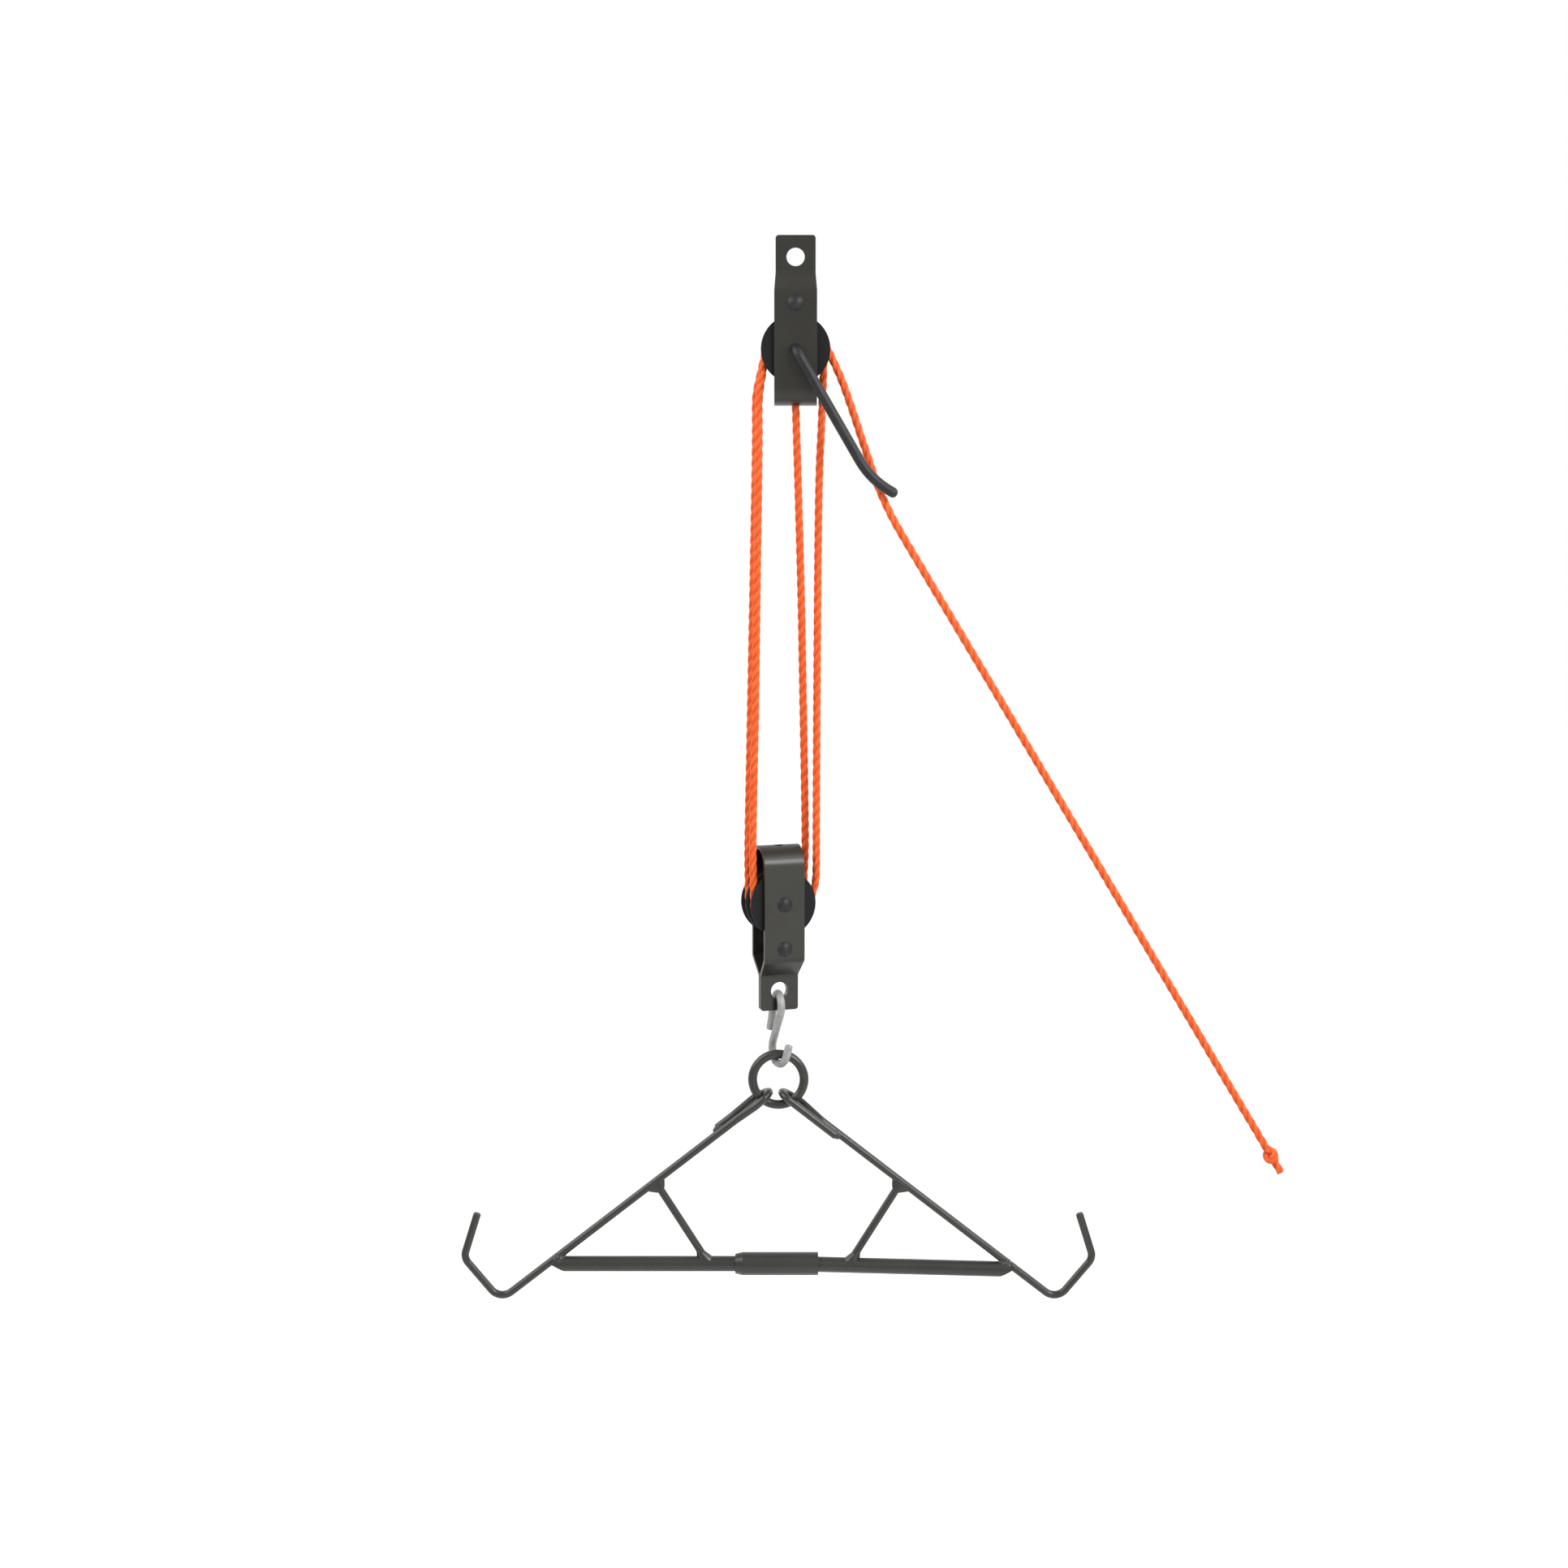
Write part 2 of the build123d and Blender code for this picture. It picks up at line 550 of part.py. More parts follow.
def save_wrap(name, centre, across, left, right, over):
    """Rope lying in a sheave's groove, over its top or under it, between its two tangent points."""
    middle = on_sheave(centre, across, math.pi / 2 if over else -math.pi / 2)
    arc = Edge.make_three_point_arc(on_sheave(centre, across, left), middle, on_sheave(centre, across, right))
    save(name, rod(Wire([arc]), ROPE_DIA))


def save_fall(name, points, radius=FALL_BEND):
    """Stretch of rope between two blocks, with a hairline left at each end."""
    points = [Vector(*p) for p in points]
    points[0] = points[0] + (points[1] - points[0]).normalized() * JOIN_GAP
    points[-1] = points[-1] + (points[-2] - points[-1]).normalized() * JOIN_GAP
    path = bent_path(points, [radius] * (len(points) - 2))
    save(name, rod(path, ROPE_DIA))


def bow(point):
    """Place of a fall's bow: its x and y, and its height from the share of the way between the axles."""
    return (point[0], point[1], AXLE_Z - point[2] * BLOCK_DROP)


uf_left = tangent_angle(upper_front, across_upper, bow(LEFT_FRONT_UPPER_BOW), -1)
uf_right = tangent_angle(upper_front, across_upper, HAULING_BOW, 1)
ur_left = tangent_angle(upper_rear, across_upper, bow(LEFT_REAR_UPPER_BOW), -1)
ur_right = tangent_angle(upper_rear, across_upper, bow(RIGHT_UPPER_BOW), 1)
lf_left = tangent_angle(lower_front, across_lower, bow(LEFT_FRONT_LOWER_BOW), -1)
lf_right = tangent_angle(lower_front, across_lower, bow(RIGHT_LOWER_BOW), 1)
lr_left = tangent_angle(lower_rear, across_lower, bow(LEFT_REAR_LOWER_BOW), -1)
lr_right = tangent_angle(lower_rear, across_lower, bow(DEAD_END_LOWER_BOW), 1)

save_wrap("wrap_upper_front", upper_front, across_upper, uf_left, uf_right, True)
save_wrap("wrap_upper_rear", upper_rear, across_upper, ur_left, ur_right, True)
save_wrap("wrap_lower_front", lower_front, across_lower, lf_left, lf_right, False)
save_wrap("wrap_lower_rear", lower_rear, across_lower, lr_left, lr_right, False)

web_z = AXLE_Z - BEND_END + STRAP_THICK
knot_z = web_z + BECKET_KNOT_GAP + BECKET_KNOT[2] / 2
save("becket_knot", Pos(0, 0, knot_z) * scale(Sphere(0.5), BECKET_KNOT))
save_fall(
    "fall_dead_end",
    [
        (0, 0, web_z),
        bow(DEAD_END_UPPER_BOW),
        bow(DEAD_END_LOWER_BOW),
        on_sheave(lower_rear, across_lower, lr_right),
    ],
)
save_fall(
    "fall_left_rear",
    [
        on_sheave(upper_rear, across_upper, ur_left),
        bow(LEFT_REAR_UPPER_BOW),
        bow(LEFT_REAR_LOWER_BOW),
        on_sheave(lower_rear, across_lower, lr_left),
    ],
)
save_fall(
    "fall_right",
    [
        on_sheave(upper_rear, across_upper, ur_right),
        bow(RIGHT_UPPER_BOW),
        bow(RIGHT_LOWER_BOW),
        on_sheave(lower_front, across_lower, lf_right),
    ],
)
save_fall(
    "fall_left_front",
    [
        on_sheave(upper_front, across_upper, uf_left),
        bow(LEFT_FRONT_UPPER_BOW),
        bow(LEFT_FRONT_LOWER_BOW),
        on_sheave(lower_front, across_lower, lf_left),
    ],
)
hauling_start = on_sheave(upper_front, across_upper, uf_right)
save_fall("hauling_rope", [hauling_start, HAULING_BOW, HAULING_END], HAULING_BEND)

# Stopper knot at the hauling end, with the short tail that every such knot leaves.
pull = (Vector(*HAULING_END) - Vector(*HAULING_BOW)).normalized()
end_plane = Plane(origin=HAULING_END, z_dir=pull)
end_knot = end_plane * Pos(0, 0, KNOT_LENGTH / 2) * scale(Sphere(0.5), (KNOT_DIA, KNOT_DIA, KNOT_LENGTH))
core_length = KNOT_LENGTH + TAIL_STUB - 2 * KNOT_START
end_knot += end_plane * Pos(0, 0, (KNOT_LENGTH + TAIL_STUB) / 2) * Cylinder(ROPE_DIA / 2, core_length)
save("hauling_end_knot", end_knot)
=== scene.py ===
import math
from bisect import bisect_right

import bmesh
import bpy
from mathutils import Euler, Matrix, Vector


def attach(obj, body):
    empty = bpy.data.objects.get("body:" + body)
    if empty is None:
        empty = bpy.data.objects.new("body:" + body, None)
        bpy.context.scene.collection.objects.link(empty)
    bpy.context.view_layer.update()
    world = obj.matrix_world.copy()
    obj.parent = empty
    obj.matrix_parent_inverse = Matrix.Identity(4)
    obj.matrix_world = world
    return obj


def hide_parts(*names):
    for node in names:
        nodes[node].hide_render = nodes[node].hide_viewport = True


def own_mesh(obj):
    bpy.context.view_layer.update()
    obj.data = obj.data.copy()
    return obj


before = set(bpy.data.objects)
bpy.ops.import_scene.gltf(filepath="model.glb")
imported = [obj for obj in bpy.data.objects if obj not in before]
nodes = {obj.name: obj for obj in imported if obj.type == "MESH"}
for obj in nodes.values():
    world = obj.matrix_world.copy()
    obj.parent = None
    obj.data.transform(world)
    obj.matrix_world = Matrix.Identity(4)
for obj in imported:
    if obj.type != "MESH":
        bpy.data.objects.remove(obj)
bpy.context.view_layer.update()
scene = bpy.context.scene
scene.view_settings.view_transform = "Standard"

# Folded straps of the two blocks: one strip of mild steel each, bent to a U and joggled to a tongue.
# They are dipped in a dark olive-grey enamel and baked, so the faces are satin with a faint orange peel,
# and the paint is rubbed thin along the sheared edges.
STRAP_ENAMEL = "#2C2B26"
STRAP_ENAMEL_DARK = "#262520"
STRAP_EDGE_RUB = "#474540"
ENAMEL_CLOUD_MM = 38
ENAMEL_SCUFF_MM = 3.2
# The Mix node's colour sockets share their names with others, so they are taken by number.
MIX_UNDER = 6
MIX_OVER = 7
MIX_COLOUR = 2


def linear(colour):
    """Turn an sRGB hex colour into the linear colour that a shader takes."""
    parts = [int(colour[i:i + 2], 16) / 255 for i in (1, 3, 5)]
    return [p / 12.92 if p <= 0.04045 else ((p + 0.055) / 1.055) ** 2.4 for p in parts] + [1.0]


def add(tree, kind, settings=None, links=None):
    """Add a node: settings are its own options or unlinked inputs, links join its inputs to other outputs."""
    node = tree.nodes.new(kind)
    for name, value in (settings or {}).items():
        if isinstance(name, str) and hasattr(node, name):
            setattr(node, name, value)
        else:
            node.inputs[name].default_value = value
    for name, source in (links or {}).items():
        tree.links.new(source, node.inputs[name])
    return node


def new_finish(name):
    """Start a material, and give it with its node tree and its shader."""
    material = bpy.data.materials.new(name)
    material.use_nodes = True
    tree = material.node_tree
    return material, tree, tree.nodes["Principled BSDF"]


def baked_enamel(name, colour, dark, rub, peel_mm, rub_mm, sheen):
    """Satin enamel baked on steel: clouded tone, fine orange peel, and a lighter rub on sharp edges."""
    material, tree, shader = new_finish(name)
    shader.inputs["Specular IOR Level"].default_value = sheen
    place = add(tree, "ShaderNodeTexCoord")
    cloud = add(tree, "ShaderNodeTexNoise",
                {"Scale": 1000 / ENAMEL_CLOUD_MM, "Detail": 4.0, "Roughness": 0.6},
                {"Vector": place.outputs["Object"]})
    peel = add(tree, "ShaderNodeTexNoise", {"Scale": 1000 / peel_mm, "Detail": 2.0},
               {"Vector": place.outputs["Object"]})
    scuff = add(tree, "ShaderNodeTexNoise",
                {"Scale": 1000 / ENAMEL_SCUFF_MM, "Detail": 5.0, "Roughness": 0.7},
                {"Vector": place.outputs["Object"]})
    tone = add(tree, "ShaderNodeMapRange", {"From Min": 0.35, "From Max": 0.65},
               {"Value": cloud.outputs["Fac"]})
    paint = add(tree, "ShaderNodeMix",
                {"data_type": "RGBA", MIX_UNDER: linear(dark), MIX_OVER: linear(colour)},
                {0: tone.outputs["Result"]})
    # An edge is where the rounded normal turns away from the surface's own.
    surface = add(tree, "ShaderNodeNewGeometry")
    rounded = add(tree, "ShaderNodeBevel", {"samples": 4, "Radius": rub_mm / 1000})
    match = add(tree, "ShaderNodeVectorMath", {"operation": "DOT_PRODUCT"},
                {0: rounded.outputs["Normal"], 1: surface.outputs["Normal"]})
    edge = add(tree, "ShaderNodeMapRange", {"From Min": 0.985, "From Max": 0.86},
               {"Value": match.outputs["Value"]})
    patchy = add(tree, "ShaderNodeMapRange", {"From Min": 0.42, "From Max": 0.62},
                 {"Value": scuff.outputs["Fac"]})
    worn = add(tree, "ShaderNodeMath", {"operation": "MULTIPLY"},
               {0: edge.outputs["Result"], 1: patchy.outputs["Result"]})
    shown = add(tree, "ShaderNodeMix", {"data_type": "RGBA", MIX_OVER: linear(rub)},
                {0: worn.outputs["Value"], MIX_UNDER: paint.outputs[MIX_COLOUR]})
    gloss = add(tree, "ShaderNodeMapRange", {"To Min": 0.24, "To Max": 0.28},
                {"Value": scuff.outputs["Fac"]})
    bump = add(tree, "ShaderNodeBump", {"Strength": 0.025, "Distance": 0.0003},
               {"Height": peel.outputs["Fac"], "Normal": rounded.outputs["Normal"]})
    tree.links.new(shown.outputs[MIX_COLOUR], shader.inputs["Base Color"])
    tree.links.new(gloss.outputs["Result"], shader.inputs["Roughness"])
    tree.links.new(bump.outputs["Normal"], shader.inputs["Normal"])
    return material


def dress(names, material):
    """Give CAD pieces their finish."""
    for name in names:
        mesh = nodes[name].data
        mesh.materials.clear()
        mesh.materials.append(material)


strap_enamel = baked_enamel("satin_enamel_on_strip", STRAP_ENAMEL, STRAP_ENAMEL_DARK, STRAP_EDGE_RUB,
                            peel_mm=0.9, rub_mm=0.5, sheen=0.3)
dress(["upper_strap", "lower_strap"], strap_enamel)

# Axle horn, axle rivet and spacer rivets: cold-headed steel, blackened in a hot oxide bath.
# The finish is thin, slightly blue and oily, so it shows the heading marks and a soft highlight.
OXIDE = "#222224"
OXIDE_PALE = "#303033"
OXIDE_BLOOM_MM = 11
HEADING_MARK_MM = 1.4
oxide_steel, tree, shader = new_finish("black_oxide_steel")
shader.inputs["Metallic"].default_value = 0.2
shader.inputs["Specular IOR Level"].default_value = 0.28
place = add(tree, "ShaderNodeTexCoord")
bloom = add(tree, "ShaderNodeTexNoise", {"Scale": 1000 / OXIDE_BLOOM_MM, "Detail": 5.0, "Roughness": 0.65},
            {"Vector": place.outputs["Object"]})
marks = add(tree, "ShaderNodeTexNoise", {"Scale": 1000 / HEADING_MARK_MM, "Detail": 3.0},
            {"Vector": place.outputs["Object"]})
tone = add(tree, "ShaderNodeMapRange", {"From Min": 0.4, "From Max": 0.75}, {"Value": bloom.outputs["Fac"]})
film = add(tree, "ShaderNodeMix",
           {"data_type": "RGBA", MIX_UNDER: linear(OXIDE), MIX_OVER: linear(OXIDE_PALE)},
           {0: tone.outputs["Result"]})
gloss = add(tree, "ShaderNodeMapRange", {"To Min": 0.38, "To Max": 0.52}, {"Value": bloom.outputs["Fac"]})
bump = add(tree, "ShaderNodeBump", {"Strength": 0.1, "Distance": 0.0002}, {"Height": marks.outputs["Fac"]})
tree.links.new(film.outputs[MIX_COLOUR], shader.inputs["Base Color"])
tree.links.new(gloss.outputs["Result"], shader.inputs["Roughness"])
tree.links.new(bump.outputs["Normal"], shader.inputs["Normal"])
dress(["upper_axle_horn", "upper_spacer_rivet", "lower_axle_rivet", "lower_spacer_rivet"], oxide_steel)

# Spacer tubes and divider washers between the cheeks: stock zinc-plated pieces, dull from handling.
# The S-hook is bent from the same plated wire, and the plating shows as a pale grey with a soft spangle.
ZINC = "#A0A09F"
ZINC_DULL = "#959594"
SPANGLE_MM = 2.6
ZINC_HAZE_MM = 9
zinc_plate, tree, shader = new_finish("zinc_plated_wire")
shader.inputs["Metallic"].default_value = 0.35
place = add(tree, "ShaderNodeTexCoord")
spangle = add(tree, "ShaderNodeTexVoronoi", {"Scale": 1000 / SPANGLE_MM}, {"Vector": place.outputs["Object"]})
haze = add(tree, "ShaderNodeTexNoise", {"Scale": 1000 / ZINC_HAZE_MM, "Detail": 5.0, "Roughness": 0.6},
           {"Vector": place.outputs["Object"]})
grain = add(tree, "ShaderNodeSeparateColor", {}, {"Color": spangle.outputs["Color"]})
mixed = add(tree, "ShaderNodeMath", {"operation": "MULTIPLY"},
            {0: grain.outputs["Red"], 1: haze.outputs["Fac"]})
tone = add(tree, "ShaderNodeMapRange", {"From Min": 0.05, "From Max": 0.5}, {"Value": mixed.outputs["Value"]})
plate = add(tree, "ShaderNodeMix",
            {"data_type": "RGBA", MIX_UNDER: linear(ZINC_DULL), MIX_OVER: linear(ZINC)},
            {0: tone.outputs["Result"]})
gloss = add(tree, "ShaderNodeMapRange", {"To Min": 0.48, "To Max": 0.62}, {"Value": haze.outputs["Fac"]})
bump = add(tree, "ShaderNodeBump", {"Strength": 0.04, "Distance": 0.0002}, {"Height": haze.outputs["Fac"]})
tree.links.new(plate.outputs[MIX_COLOUR], shader.inputs["Base Color"])
tree.links.new(gloss.outputs["Result"], shader.inputs["Roughness"])
tree.links.new(bump.outputs["Normal"], shader.inputs["Normal"])
dress(["s_hook", "upper_spacer_tube", "lower_spacer_tube", "upper_divider_washer", "lower_divider_washer"],
      zinc_plate)

# Sheaves: black nylon with glass fibre, moulded in two halves of a steel tool.
# The skin is near black and matt, with the fibre showing as a fine grey fleck.
# The real fleck is finer than a pixel, so it is drawn as coarse as it needs to show.
NYLON = "#0A0A0D"
NYLON_FLECK = "#131317"
NYLON_FLOW_MM = 14
NYLON_FLECK_MM = 0.8
moulded_nylon, tree, shader = new_finish("moulded_black_nylon")
shader.inputs["Specular IOR Level"].default_value = 0.2
place = add(tree, "ShaderNodeTexCoord")
flow = add(tree, "ShaderNodeTexNoise", {"Scale": 1000 / NYLON_FLOW_MM, "Detail": 3.0},
           {"Vector": place.outputs["Object"]})
fleck = add(tree, "ShaderNodeTexNoise", {"Scale": 1000 / NYLON_FLECK_MM, "Detail": 2.0},
            {"Vector": place.outputs["Object"]})
tone = add(tree, "ShaderNodeMapRange", {"From Min": 0.5, "From Max": 0.72}, {"Value": fleck.outputs["Fac"]})
skin = add(tree, "ShaderNodeMix",
           {"data_type": "RGBA", MIX_UNDER: linear(NYLON), MIX_OVER: linear(NYLON_FLECK)},
           {0: tone.outputs["Result"]})
gloss = add(tree, "ShaderNodeMapRange", {"To Min": 0.5, "To Max": 0.66}, {"Value": flow.outputs["Fac"]})
bump = add(tree, "ShaderNodeBump", {"Strength": 0.15, "Distance": 0.0002}, {"Height": fleck.outputs["Fac"]})
tree.links.new(skin.outputs[MIX_COLOUR], shader.inputs["Base Color"])
tree.links.new(gloss.outputs["Result"], shader.inputs["Roughness"])
tree.links.new(bump.outputs["Normal"], shader.inputs["Normal"])
dress(["upper_front_sheave", "upper_rear_sheave", "lower_front_sheave", "lower_rear_sheave"], moulded_nylon)

# Ring and gambrel: drawn rod, tube and a swaged sleeve, welded and then dipped in the same enamel.
# On the thin rods the enamel is a little paler and glossier than on the straps, and rubbed less at the edges.
ROD_ENAMEL = "#2E2D29"
ROD_ENAMEL_DARK = "#272622"
ROD_EDGE_RUB = "#4A4842"
rod_enamel = baked_enamel("satin_enamel_on_rod", ROD_ENAMEL, ROD_ENAMEL_DARK, ROD_EDGE_RUB,
                          peel_mm=1.1, rub_mm=0.3, sheen=0.42)
dress(["ring", "left_arm", "left_crossbar_tube", "left_strut", "coupling_sleeve", "right_arm",
       "right_crossbar_tube", "right_strut"], rod_enamel)

# Weld beads: weld metal laid by hand round the ends of each strut, at the crossbar's end and on the tail.
# A strut's bead is a collar, wide on the bar and drawn in to the strut; the others are low mounds.
# The weld pool leaves ripples across the run of a bead, and the enamel lies over them as over the rods.
STRUT_SKIN = 0.0033
# A collar's ripples run round it and a mound's lie across its run. Their depth is a share of the radius.
COLLAR_SIDES = 56
COLLAR_RINGS = 12
COLLAR_RIPPLES = 20
COLLAR_RIPPLE_DEPTH = 0.018
COLLAR_FALL = 0.85
MOUND_SIDES = 40
MOUND_RINGS = 44
MOUND_RIPPLE = 0.0024
MOUND_RIPPLE_DEPTH = 0.04
# Each collar: middle of its foot, turn about Y in degrees, lean with height, reach and width of the foot
# from its middle, and height along the strut.
strut_collars = {
    "left": [
        ((-0.1151, -0.0028, -0.7437), 142.0, -0.12, 0.0106, 0.0037, 0.0088),
        ((-0.0718, -0.0028, -0.8080), 0.0, -0.72, 0.0078, 0.0056, 0.0075),
    ],
    "right": [
        ((0.0877, -0.0028, -0.7437), 218.0, 0.12, 0.0106, 0.0037, 0.0088),
        ((0.0446, -0.0028, -0.8092), 1.5, 0.68, 0.0074, 0.0056, 0.0075),
    ],
}
# Each mound: its middle, turn about Y in degrees, then half its run, half its width and half its height.
weld_mounds = {
    "left": [
        ((-0.1927, -0.0028, -0.8078), -128.0, 0.0068, 0.0062, 0.0056),
        ((-0.0625, 0.0006, -0.6997), -128.0, 0.0050, 0.0036, 0.0034),
    ],
    "right": [
        ((0.1716, -0.0028, -0.8123), 128.0, 0.0068, 0.0062, 0.0056),
        ((0.0330, -0.0069, -0.7025), 128.0, 0.0050, 0.0036, 0.0034),
    ],
}


def make_object(name, built, material):
    """Turn a finished bmesh into an object of the scene."""
    mesh = bpy.data.meshes.new(name)
    built.to_mesh(mesh)
    built.free()
    mesh.materials.append(material)
    made = bpy.data.objects.new(name, mesh)
    scene.collection.objects.link(made)
    return made


for side in ("left", "right"):
    laid = bmesh.new()
    for middle, turn, lean, reach, width, height in strut_collars[side]:
        begun = len(laid.verts)
        profile = [laid.verts.new((1.0, 0.0, ring / COLLAR_RINGS)) for ring in range(COLLAR_RINGS + 1)]
        edges = [laid.edges.new(pair) for pair in zip(profile, profile[1:])]
        bmesh.ops.spin(laid, geom=profile + edges, cent=(0, 0, 0), axis=(0, 0, 1), angle=math.tau,
                       steps=COLLAR_SIDES, dvec=(0, 0, 0), use_merge=True, use_duplicate=False)
        laid.verts.ensure_lookup_table()
        collar = laid.verts[begun:]
        for vert in collar:
            out = (1 - min(vert.co.z, 1.0)) ** COLLAR_FALL
            ripple = math.cos(COLLAR_RIPPLES * math.atan2(vert.co.y, vert.co.x))
            swell = 1 + COLLAR_RIPPLE_DEPTH * out * ripple
            vert.co.x *= (STRUT_SKIN + (reach - STRUT_SKIN) * out) * swell
            vert.co.y *= (STRUT_SKIN + (width - STRUT_SKIN) * out) * swell
            vert.co.z *= height
            vert.co.x += lean * vert.co.z
        turned = Matrix.Rotation(math.radians(turn), 3, "Y")
        bmesh.ops.rotate(laid, verts=collar, cent=(0, 0, 0), matrix=turned)
        bmesh.ops.translate(laid, vec=middle, verts=collar)
    bmesh.ops.holes_fill(laid, edges=[edge for edge in laid.edges if edge.is_boundary])
    for middle, turn, run, width, height in weld_mounds[side]:
        ball = bmesh.ops.create_uvsphere(laid, u_segments=MOUND_SIDES, v_segments=MOUND_RINGS, radius=1.0)
        mound = ball["verts"]
        for vert in mound:
            swell = 1 + MOUND_RIPPLE_DEPTH * math.cos(math.tau * vert.co.z * run / MOUND_RIPPLE)
            vert.co.x *= swell
            vert.co.y *= swell
        turned = Matrix.Rotation(math.radians(turn), 3, "Y")
        bmesh.ops.scale(laid, vec=(height, width, run), verts=mound)
        bmesh.ops.rotate(laid, verts=mound, cent=(0, 0, 0), matrix=turned)
        bmesh.ops.translate(laid, vec=middle, verts=mound)
    bmesh.ops.recalc_face_normals(laid, faces=laid.faces)
    for face in laid.faces:
        face.smooth = len(face.verts) <= 4
    beads = make_object(side + "_weld_beads", laid, rod_enamel)
    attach(beads, "gambrel_" + side)
    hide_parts(side + "_welds")

# Rope: three-strand polypropylene, right-hand laid, in a bright orange, with a redder, darker orange painted
# in as shade down in the valleys of the lay.
# Each strand is a bundle of yarns that lie along the rope, so the surface is faintly ribbed and silky, and
# lighter streaks along the yarns are a painted sheen.
# The rope is widest at a strand's crest and narrowest in the valley between two, and a lay is one full turn.
ROPE_RADIUS = 0.0032
ROPE_VALLEY = 0.0025
ROPE_LAY = 0.026
ROPE_STRANDS = 3
STRAND_ROUNDNESS = 0.55
ROPE_SIDES = 24
ROPE_STEP = 0.0013
ROPE_YARNS = 24
ROPE_SHEEN_PATCH_MM = 24
ROUTE_RESOLUTION = 48
GROOVE_STEPS = 60
ROPE_ORANGE = "#EC641F"
ROPE_PAINTED_SHEEN = "#F48946"
ROPE_PAINTED_SHADE = "#E6400A"

twisted_rope, tree, shader = new_finish("laid_polypropylene_rope")
shader.inputs["Specular IOR Level"].default_value = 0.3
shader.inputs["Roughness"].default_value = 0.5
wrap_map = add(tree, "ShaderNodeUVMap", {"uv_map": "lay"})
split = add(tree, "ShaderNodeSeparateXYZ", {}, {"Vector": wrap_map.outputs["UV"]})
yarn_turn = add(tree, "ShaderNodeMath", {"operation": "ADD"}, {0: split.outputs["X"], 1: split.outputs["Y"]})
yarn_count = add(tree, "ShaderNodeMath", {"operation": "MULTIPLY", 1: float(ROPE_YARNS)},
                 {0: yarn_turn.outputs["Value"]})
yarn_angle = add(tree, "ShaderNodeMath", {"operation": "MULTIPLY", 1: math.tau},
                 {0: yarn_count.outputs["Value"]})
yarn_rib = add(tree, "ShaderNodeMath", {"operation": "COSINE"}, {0: yarn_angle.outputs["Value"]})
yarn_cell = add(tree, "ShaderNodeCombineXYZ", {},
                {"X": yarn_count.outputs["Value"], "Y": split.outputs["Y"]})
yarn_sheen_noise = add(tree, "ShaderNodeTexNoise", {"Scale": 0.9, "Detail": 2.0, "Roughness": 0.6},
                 {"Vector": yarn_cell.outputs["Vector"]})
place = add(tree, "ShaderNodeTexCoord")
sheen_patches = add(tree, "ShaderNodeTexNoise", {"Scale": 1000 / ROPE_SHEEN_PATCH_MM, "Detail": 3.0},
           {"Vector": place.outputs["Object"]})
crest = add(tree, "ShaderNodeAttribute", {"attribute_name": "crest"})
# Painted shade: a redder, darker orange is mixed in towards the valleys between strands, where shade falls.
valley_shade_mask = add(tree, "ShaderNodeMapRange", {"From Min": 0.05, "From Max": 0.8}, {"Value": crest.outputs["Fac"]})
# Painted sheen: lighter streaks along the yarns, in patches, stand in for the glints of the glossy fibres.
light = add(tree, "ShaderNodeMapRange", {"From Min": 0.45, "From Max": 0.7},
            {"Value": yarn_sheen_noise.outputs["Fac"]})
sheen_streak_mask = add(tree, "ShaderNodeMath", {"operation": "MULTIPLY"},
             {0: light.outputs["Result"], 1: sheen_patches.outputs["Fac"]})
yarns_with_painted_sheen = add(tree, "ShaderNodeMix",
            {"data_type": "RGBA", MIX_UNDER: linear(ROPE_ORANGE), MIX_OVER: linear(ROPE_PAINTED_SHEEN)},
            {0: sheen_streak_mask.outputs["Value"]})
rope_colour_with_painted_light = add(tree, "ShaderNodeMix", {"data_type": "RGBA", MIX_UNDER: linear(ROPE_PAINTED_SHADE)},
                 {0: valley_shade_mask.outputs["Result"], MIX_OVER: yarns_with_painted_sheen.outputs[MIX_COLOUR]})
bump = add(tree, "ShaderNodeBump", {"Strength": 0.25, "Distance": 0.00025},
           {"Height": yarn_rib.outputs["Value"]})
tree.links.new(rope_colour_with_painted_light.outputs[MIX_COLOUR], shader.inputs["Base Color"])
tree.links.new(bump.outputs["Normal"], shader.inputs["Normal"])


def line_through(points):
    """Read a smooth line from a NURBS spline whose control points are the route's points."""
    curve = bpy.data.curves.new("route", "CURVE")
    curve.dimensions = "3D"
    curve.resolution_u = ROUTE_RESOLUTION
    spline = curve.splines.new("NURBS")
    spline.points.add(len(points) - 1)
    for slot, point in zip(spline.points, points):
        slot.co = (*point, 1.0)
    spline.order_u = 3
    spline.use_endpoint_u = True
    holder = bpy.data.objects.new("route", curve)
    scene.collection.objects.link(holder)
    bpy.context.view_layer.update()
    found = bpy.data.meshes.new_from_object(holder.evaluated_get(bpy.context.evaluated_depsgraph_get()))
    line = [vert.co.copy() for vert in found.vertices]
    bpy.data.objects.remove(holder)
    bpy.data.curves.remove(curve)
    bpy.data.meshes.remove(found)
    return line


def line_round(start, centre, axis, degrees):
    """Read the line of a rope that lies in a sheave's groove: one point spun about the axle."""
    arc = bmesh.new()
    seed = arc.verts.new(start)
    bmesh.ops.spin(arc, geom=[seed], cent=centre, axis=axis, angle=math.radians(degrees), steps=GROOVE_STEPS,
                   dvec=(0, 0, 0), use_merge=False, use_duplicate=False)
    line = [vert.co.copy() for vert in arc.verts]
    arc.free()
    return line


